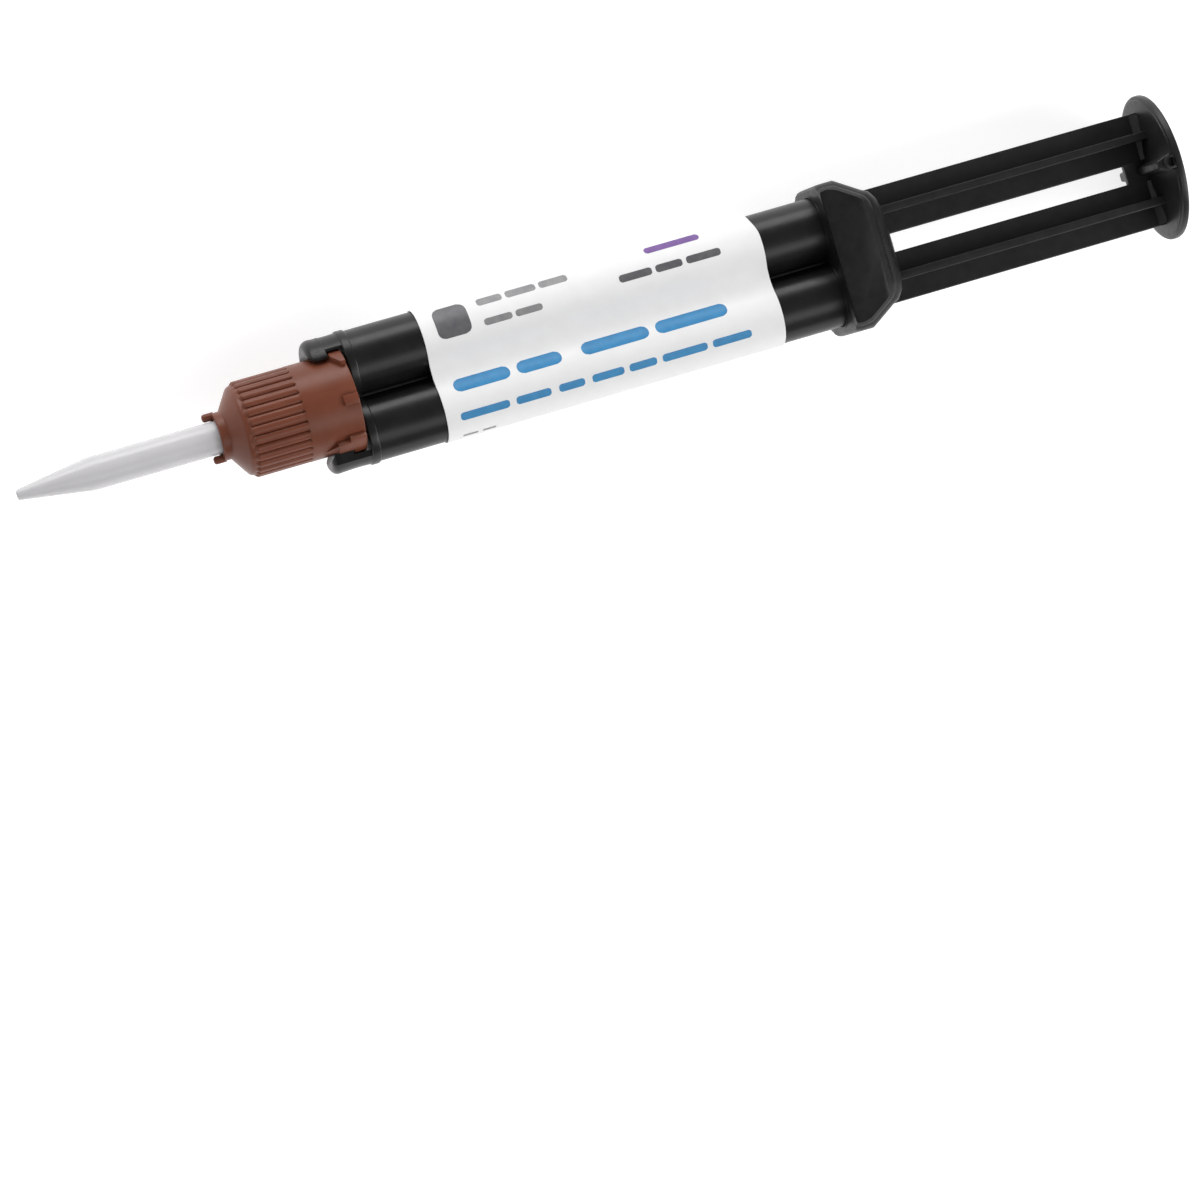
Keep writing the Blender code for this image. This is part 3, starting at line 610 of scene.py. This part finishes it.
def make_barrels():
    outline = figure_eight(PLATE_R, PLATE_NOTCH_Z)
    barrels = prism_x("plate", outline, PLATE_FRONT - 0.02, PLATE_REAR, 0.22, 3)
    parts = []
    for side in (-1, 1):
        y = side * BARREL_Y
        barrel = [(PLATE_REAR - 0.5, BARREL_R), (BARREL_REAR, BARREL_R)]
        parts.append(turned(f"barrel_{side}", barrel, 128, y))
        parts.append(hook(side))
        nozzle = [(NOZZLE_FRONT, NOZZLE_R - 0.15), (NOZZLE_FRONT + 0.15, NOZZLE_R)]
        nozzle += [(PLATE_FRONT + 0.5, NOZZLE_R)]
        parts.append(turned(f"nozzle_{side}", nozzle, 40, side * NOZZLE_Y))
    crown = [(WEB_HALF_Y, 0.5), (0.34, 0.56), (0.27, 0.66), (0.18, 0.73), (0.09, 0.77)]
    crown += [(0, 0.78)] + [(-y, z) for y, z in reversed(crown)]
    outline = crown + [(-y, -z) for y, z in crown]
    parts.append(prism_x("web", outline, PLATE_REAR - 0.4, BARREL_REAR - 0.5))
    join(barrels, *parts)
    inner = NOZZLE_Y + NOZZLE_R + 0.1
    clearance = [(HOOK_FRONT - 1, inner), (HOOK_FRONT - 1, CLAW_BORE_R + 1.5)]
    clearance += [(HOOK_FRONT + 0.7, CLAW_BORE_R)]
    clearance += [(CLAW_REAR, CLAW_BORE_R), (CLAW_REAR, SLOT_BORE_R), (PLATE_FRONT, SLOT_BORE_R)]
    clearance += [(PLATE_FRONT, inner)]
    tools = [turned("clearance", clearance, 144, closed=True)]
    for side in (-1, 1):
        y = side * BARREL_Y
        tools.append(turned(f"bore_{side}", [(BORE_FRONT, BORE_R), (BARREL_REAR + 1, BORE_R)], 64, y))
        outlet = [(NOZZLE_FRONT - 1, NOZZLE_BORE_R), (BORE_FRONT + 0.5, NOZZLE_BORE_R)]
        tools.append(turned(f"outlet_{side}", outlet, 24, side * NOZZLE_Y))
    cut(barrels, *tools)
    return piece(barrels, "twin_barrel", "barrel", GLOSS_BLACK, "barrel_body", 30)


# Finger flange


def make_flange():
    """Full around the middle, drawn in to a smaller outline at both flat sides."""
    levels = [(-z, share) for z, share in reversed(FLANGE_LEVELS)] + FLANGE_LEVELS
    rings = []
    for z, share in levels:
        upper = []
        for (a, b), (c, d) in zip(FLANGE_FULL, FLANGE_FLAT):
            upper.append((a + (c - a) * share, b + (d - b) * share))
        ring = upper + [(x, -y) for x, y in reversed(upper[:-1])]
        rings.append([(FLANGE_FRONT + x, y, z) for x, y in ring])
    flange = rounded(loft("flange", rings), 0.14, 2, 60)
    lip_r = POCKET_R + LIP_WIDTH
    lip = [(FLANGE_FRONT - LIP_DEPTH, lip_r - 0.07), (FLANGE_FRONT + 0.5, lip_r)]
    for side in (-1, 1):
        join(flange, turned(f"lip_{side}", lip, 96, side * BARREL_Y))
    pocket = [(FLANGE_FRONT - 1, POCKET_R), (POCKET_REAR, POCKET_R)]
    rod_hole = [(POCKET_REAR - 1, ROD_HOLE_R), (FLANGE_REAR + 1, ROD_HOLE_R)]
    tools = []
    for side in (-1, 1):
        y = side * BARREL_Y
        tools.append(turned(f"pocket_{side}", pocket, 96, y))
        tools.append(turned(f"rod_hole_{side}", rod_hole, 96, y))
    low = (FLANGE_FRONT - 1, -WEB_HALF_Y, -WEB_HALF_Z - WEB_POCKET_GAP)
    tools.append(block("web_pocket", low, (POCKET_REAR, WEB_HALF_Y, WEB_HALF_Z + WEB_POCKET_GAP)))
    low = (WEB_SLOT_FRONT, -WEB_HALF_Y, -FIN_THICK / 2 - WEB_SLOT_GAP)
    tools.append(block("web_slot", low, (FLANGE_REAR + 1, WEB_HALF_Y, FIN_THICK / 2 + WEB_SLOT_GAP)))
    cut(flange, *tools)
    return piece(flange, "finger_rest", "barrel", SATIN_BLACK, "finger_flange", 30)


# Plunger


def thumb_plate():
    """A round plate, slightly dished on its inner face inside a raised rim."""
    front, rear = THUMB_RIM_FRONT, LENGTH
    profile = [(THUMB_INNER, 0.6), (THUMB_INNER + 0.05, 2.4), (THUMB_INNER + 0.45, 5.6)]
    profile += [(148.86, THUMB_R - 1.0), (front - 0.2, THUMB_R - 0.62), (front - 0.17, THUMB_R - 0.5)]
    profile += [(front - 0.04, THUMB_R - 0.44), (front, THUMB_R - 0.25), (front + 0.06, THUMB_R - 0.08)]
    profile += [(front + 0.2, THUMB_R), (rear - 0.25, THUMB_R), (rear - 0.07, THUMB_R - 0.07)]
    profile += [(rear, THUMB_R - 0.25), (rear, 0.6)]
    return turned("thumb_plate", profile, 160)


def thumb_rib():
    """The rib across the plate's inner face, narrower at its top."""
    outline = [(RIB_TOP_X, -RIB_TOP_HALF), (THUMB_INNER + 1, -RIB_BASE_HALF)]
    outline += [(THUMB_INNER + 1, RIB_BASE_HALF), (RIB_TOP_X, RIB_TOP_HALF)]
    return prism_z("rib", outline, RIB_FAR_Z, RIB_NEAR_Z, 0.16)


def polygon(radius, corners):
    """Points (x, y) of a regular polygon about BOSS_X."""
    found = []
    for i in range(corners):
        angle = i * 2 * math.pi / corners
        found.append((BOSS_X + radius * math.cos(angle), radius * math.sin(angle)))
    return found


def thumb_boss():
    """The hexagonal end of the rib at the rim, with a round dimple."""
    boss = prism_z("boss", polygon(BOSS_R, 6), BOSS_TOP - BOSS_DEPTH, BOSS_TOP, 0.1, 2)
    return cut(boss, prism_z("dimple", polygon(DIMPLE_R, 24), BOSS_TOP - DIMPLE_DEPTH, BOSS_TOP + 1))


def fin_foot(side, face):
    """A ramp where a flat fin runs up into the thumb plate."""
    y = side * BARREL_Y
    low_z, high_z = FIN_THICK / 2 - 0.1, FIN_THICK / 2 + 0.8
    low_y, high_y = y - FIN_HALF + 0.2, y + FIN_HALF - 0.2
    outline = [(low_y, low_z), (low_y, high_z), (high_y, high_z), (high_y, low_z)]
    outline = [(a, face * b) for a, b in outline]
    ramp = prism_x(f"foot_{side}_{face}", outline, THUMB_INNER - 0.4, THUMB_INNER + 0.5)
    for vert in ramp.data.vertices:
        if vert.co.x < THUMB_INNER:
            vert.co.z = face * min(abs(vert.co.z), FIN_THICK / 2 - 0.02)
    return ramp


def rod(side):
    """The drafts of one rod: two crossed fins, the disc and stem at its front, and both feet."""
    y = side * BARREL_Y
    half = FIN_THICK / 2
    front, back = ROD_DISC_REAR - 0.3, THUMB_INNER + 0.8
    parts = [block(f"flat_fin_{side}", (front, y - FIN_HALF, -half), (back, y + FIN_HALF, half), 0.13)]
    low, high = (front + 0.1, y - half, -FIN_HALF), (back + 0.1, y + half, FIN_HALF)
    parts.append(block(f"upright_fin_{side}", low, high, 0.13))
    disc = [(ROD_FRONT, FIN_HALF - 0.12), (ROD_FRONT + 0.1, FIN_HALF - 0.02)]
    disc += [(ROD_DISC_REAR - 0.1, FIN_HALF - 0.02), (ROD_DISC_REAR, FIN_HALF - 0.12)]
    parts.append(turned(f"disc_{side}", disc, 64, y))
    stem = [(STEM_FRONT, STEM_R - 0.15), (STEM_FRONT + 0.15, STEM_R), (ROD_FRONT + 0.5, STEM_R)]
    parts.append(turned(f"stem_{side}", stem, 32, y))
    return parts + [fin_foot(side, face) for face in (-1, 1)]


def make_plunger():
    """Two cross-finned rods on one thumb plate, with a rib and a hexagonal boss across its inner face."""
    parts = [thumb_rib(), thumb_boss()]
    web_y = BARREL_Y - FIN_HALF + 0.5
    web_z = FIN_THICK / 2 - 0.03
    low = (ROD_WEB_FRONT, -web_y, -web_z)
    parts.append(block("rod_web", low, (THUMB_INNER + 0.6, web_y, web_z), 0.12))
    for side in (-1, 1):
        parts += rod(side)
    plunger = join(thumb_plate(), *parts)
    return piece(plunger, "twin_plunger", "plunger", ROD_BLACK, "plunger", 30)


# Label


def wrap_outline(radius, steps=64):
    """Both crowns, and a shallow parabola across each valley that meets them at their own slope."""
    half = math.pi - math.acos((BARREL_Y - VALLEY_Y) / radius)
    right = arc(BARREL_Y, radius, -half, half, steps)
    left = [(-y, z) for y, z in reversed(right)]
    cuts = 12
    valley = []
    for i in range(1, cuts):
        y = VALLEY_Y * (1 - 2 * i / cuts)
        valley.append((y, valley_height(radius, y)))
    return right + valley + left + [(-y, -z) for y, z in valley]


def valley_height(radius, y):
    """The parabola's height at y, between the two crowns."""
    run = BARREL_Y - VALLEY_Y
    crown = math.sqrt(radius**2 - run**2)
    slope = run / crown
    return crown - slope / (2 * VALLEY_Y) * (VALLEY_Y**2 - y**2)


def label_height(y, radius):
    """How high the label's near side stands at y."""
    if abs(y) < VALLEY_Y:
        return valley_height(radius, y)
    return math.sqrt(max(0.0, radius**2 - (abs(y) - BARREL_Y) ** 2))


def label_rear(y):
    """The rear edge: square to the axis, but for a corner that was cut a little short."""
    return LABEL_REAR - 0.45 * smooth((y - 5.5) / 2.6)


def make_label():
    outer = wrap_outline(LABEL_R)
    inner = wrap_outline(LABEL_R - LABEL_THICK)
    rings = [[(LABEL_FRONT, y, z) for y, z in outer], [(label_rear(y), y, z) for y, z in outer]]
    rings += [[(label_rear(y), y, z) for y, z in inner], [(LABEL_FRONT, y, z) for y, z in inner]]
    label = rounded(loft("label", rings, closed=True), 0.03, 1, 60)
    return piece(label, "label_film", "barrel", PAPER, "label_wrap", 40)


def ink_solid(bm, outline):
    """A thin closed patch of ink that follows the label, over a convex outline of (x, y) points."""
    low_y = min(y for _, y in outline)
    high_y = max(y for _, y in outline)
    rows = max(3, math.ceil((high_y - low_y) / INK_ROW))
    left, right = [], []
    for i in range(rows + 1):
        y = low_y + (high_y - low_y) * (0.001 + 0.998 * i / rows)
        crossings = []
        for (x0, y0), (x1, y1) in zip(outline, outline[1:] + outline[:1]):
            if (y0 - y) * (y1 - y) < 0:
                crossings.append(x0 + (x1 - x0) * (y - y0) / (y1 - y0))
        left.append((min(crossings), y))
        right.append((max(crossings), y))
    rings = []
    for (x0, y), (x1, _) in zip(left, right):
        high = label_height(y, LABEL_R + INK_ABOVE)
        low = label_height(y, LABEL_R + INK_BELOW)
        corners = ((x0, y, low), (x0, y, high), (x1, y, high), (x1, y, low))
        rings.append([bm.verts.new(corner) for corner in corners])
    for first, second in zip(rings, rings[1:]):
        for i in range(4):
            bm.faces.new((first[i - 1], first[i], second[i], second[i - 1]))
    bm.faces.new(rings[0])
    bm.faces.new(rings[-1])


def bar(x0, x1, y0, y1, corner):
    """A rounded rectangle as an outline of (x, y) points."""
    corner = min(corner, (x1 - x0) / 2, (y1 - y0) / 2) * 0.999
    centres = [(x1 - corner, y1 - corner), (x0 + corner, y1 - corner)]
    centres += [(x0 + corner, y0 + corner), (x1 - corner, y0 + corner)]
    points = []
    for k, (cx, cy) in enumerate(centres):
        for i in range(5):
            angle = math.pi / 2 * (k + i / 4)
            points.append((cx + corner * math.cos(angle), cy + corner * math.sin(angle)))
    return points


def bars(x0, x1, y0, y1, widths, gap, chance):
    """A row of bars with word-like lengths, filling x0 to x1."""
    found = []
    x = x0
    while True:
        width = chance.uniform(*widths)
        if x + width > x1:
            break
        found.append(bar(x, x + width, y0, y1, (y1 - y0) / 3))
        x += width + gap * chance.uniform(0.8, 1.3)
    return found


def bar_rows(rows, chance):
    found = []
    for row, widths, gap in rows:
        found += bars(*row, widths, gap, chance)
    return found


def make_print():
    """Plain bars and a plain swatch where the label is printed: no lettering and no mark."""
    chance = random.Random(PRINT_SEED)
    grey = bar_rows(GREY_ROWS, chance)
    blue = [bar(x0, x1, *WIDE_BARS_Y, WIDE_BARS_CORNER) for x0, x1 in WIDE_BARS]
    blue += bar_rows(BLUE_ROWS, chance)
    dark = bar_rows(DARK_ROWS, chance)
    mark = [bar(*SWATCH, SWATCH_CORNER)]
    purple = [bar(*PURPLE_BAR, PURPLE_CORNER)]
    inks = (("print_grey", grey, GREY_INK), ("print_blue", blue, BLUE_INK), ("print_mark", mark, DARK_INK))
    inks += (("print_dark", dark, DARK_INK), ("print_purple", purple, PURPLE_INK))
    for name, outlines, ink in inks:
        bm = bmesh.new()
        for outline in outlines:
            ink_solid(bm, outline)
        piece(draft(name, bm), name, "barrel", ink)


# Inside: pastes, pistons and seals


def make_paste(name, side, material):
    low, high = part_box(name)
    front, rear = ends(name)
    radius = (high.z - low.z) / 2 / MM
    profile = [(front, radius - 0.25), (front + 0.1, radius - 0.07), (front + 0.3, radius)]
    profile += [(rear - 0.3, radius), (rear - 0.1, radius - 0.07), (rear, radius - 0.25)]
    cylinder = turned(name, profile, 64, side * BARREL_Y)
    paste = piece(cylinder, f"{name}_fill", "barrel", material, name)
    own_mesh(paste)


def finish_cad(node, material):
    """Gives a material to a CAD node that is shown as it is."""
    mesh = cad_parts[node].data
    mesh.materials.clear()
    mesh.materials.append(material)


make_tube()
make_mixer()
make_collar()
make_barrels()
make_flange()
make_plunger()
make_label()
make_print()
make_paste("base_paste", 1, BASE_PASTE)
make_paste("catalyst_paste", -1, CATALYST_PASTE)
finish_cad("mixer_inlet", WHITE)
for paste_name in ("base", "catalyst"):
    finish_cad(f"{paste_name}_piston", WHITE)
    finish_cad(f"{paste_name}_piston_seal", RUBBER)


# Camera: it looks down on the syringe from the tip's side, turned so that the tip points down and left.
VIEW_TILT = math.radians(12.7)
VIEW_ROLL = math.radians(16.07)
LENS = 157.5
SENSOR = 36
DISTANCE = 0.643
AIM_FROM_TIP = 0.0652
AIM_DROP = 0.0321
AXIS_ROLL = math.radians(2)

# Light: each softbox is (name, place, width, height, watts), aimed at the model's origin.
SOFTBOXES = [
    ("key", (0.0, 1.5, 0.56), 2.4, 0.85, 28),
    ("fill", (0.0, -1.15, 1.5), 2.4, 1.0, 11),
    ("thumb_side", (1.3, -0.75, 0.95), 1.4, 1.2, 21),
    ("tip_side", (-1.5, 0.3, 0.6), 1.0, 0.6, 2),
]
WORLD_GLOW = 0.2
FLOOR_GLOW = 0.65
FLOOR_HALF = 3


def make_camera():
    u = Vector((math.cos(VIEW_ROLL), math.sin(VIEW_ROLL), 0))
    v = Vector((math.sin(VIEW_ROLL), -math.cos(VIEW_ROLL), 0))
    depth = Vector((0, 0, -1))
    point = -AIM_DROP * v + DISTANCE * depth
    along = u * math.cos(VIEW_TILT) + depth * math.sin(VIEW_TILT)
    along += v * (-AIM_DROP / DISTANCE * math.sin(VIEW_TILT))
    along.normalize()
    side = (-v - along * (-v).dot(along)).normalized()
    up = along.cross(side)
    side, up = (
        side * math.cos(AXIS_ROLL) + up * math.sin(AXIS_ROLL),
        up * math.cos(AXIS_ROLL) - side * math.sin(AXIS_ROLL),
    )
    # Columns of this matrix are the row's axes in the camera's space.
    row = Matrix((along, side, up)).transposed()
    row_origin = point - row @ Vector((TIP_X + AIM_FROM_TIP, 0, AXIS_Z))
    row_in_camera = Matrix.Translation(row_origin) @ row.to_4x4()
    data = bpy.data.cameras.new("camera")
    data.lens = LENS
    data.sensor_width = SENSOR
    data.clip_start = 0.01
    data.clip_end = 10
    camera = bpy.data.objects.new("camera", data)
    camera.matrix_world = row_in_camera.inverted()
    bpy.context.scene.collection.objects.link(camera)
    bpy.context.scene.camera = camera


def make_floor():
    mesh = bpy.data.meshes.new("floor")
    half = FLOOR_HALF
    corners = [(-half, -half, 0), (half, -half, 0), (half, half, 0), (-half, half, 0)]
    mesh.from_pydata(corners, [], [(0, 1, 2, 3)])
    floor = bpy.data.objects.new("floor", mesh)
    bpy.context.scene.collection.objects.link(floor)
    pale, _, shader = principled("pale_floor")
    shader.inputs["Base Color"].default_value = (0.6, 0.6, 0.6, 1)
    shader.inputs["Roughness"].default_value = 0.9
    shader.inputs["Emission Color"].default_value = (1, 1, 1, 1)
    shader.inputs["Emission Strength"].default_value = FLOOR_GLOW
    mesh.materials.append(pale)


def softbox(name, place, width, height, watts):
    data = bpy.data.lights.new(name, "AREA")
    data.shape = "RECTANGLE"
    data.size = width
    data.size_y = height
    data.energy = watts
    light = bpy.data.objects.new(name, data)
    light.location = place
    light.rotation_euler = (-Vector(place)).to_track_quat("-Z", "Y").to_euler()
    bpy.context.scene.collection.objects.link(light)


def make_lights():
    for settings in SOFTBOXES:
        softbox(*settings)
    world = bpy.data.worlds.new("world")
    bpy.context.scene.world = world
    world.use_nodes = True
    background = world.node_tree.nodes["Background"]
    background.inputs["Color"].default_value = (1, 1, 1, 1)
    background.inputs["Strength"].default_value = WORLD_GLOW


make_camera()
make_floor()
make_lights()
bpy.context.scene.view_settings.view_transform = "Standard"
